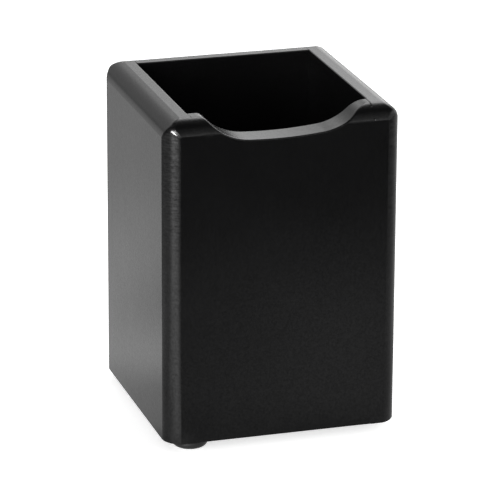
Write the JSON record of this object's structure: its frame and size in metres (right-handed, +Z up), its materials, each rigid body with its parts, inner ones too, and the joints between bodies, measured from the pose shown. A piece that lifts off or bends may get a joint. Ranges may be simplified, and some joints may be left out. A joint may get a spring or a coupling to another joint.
{
  "type": "desk cup",
  "caption": "Square, open-topped upright cup of black painted wooden boards with rounded outer edges, a finger scoop in the front wall's top edge, and stick-on rubber feet.",
  "frame": {"origin": "on the standing surface, under the middle of the cup's square body", "axes": "+Z up, -Y out of the scooped front, +X to the right of a person facing the front"},
  "size_m": [0.0794, 0.0794, 0.1125],
  "materials": {
    "painted_wood": "satin black paint over sanded board",
    "dowel_wood": "plain beech, fluted",
    "foot_rubber": "moulded, slightly glossy",
    "adhesive": "thin acrylic adhesive film"
  },
  "bodies": {
    "root": {"front_panel": "painted_wood", "back_panel": "painted_wood", "left_side_panel": "painted_wood", "right_side_panel": "painted_wood", "floor_panel": "painted_wood", "joint_dowels": "dowel_wood", "front_left_foot": "foot_rubber", "front_left_adhesive": "adhesive", "front_right_foot": "foot_rubber", "front_right_adhesive": "adhesive", "back_left_foot": "foot_rubber", "back_left_adhesive": "adhesive", "back_right_foot": "foot_rubber", "back_right_adhesive": "adhesive"}
  },
  "joints": []
}
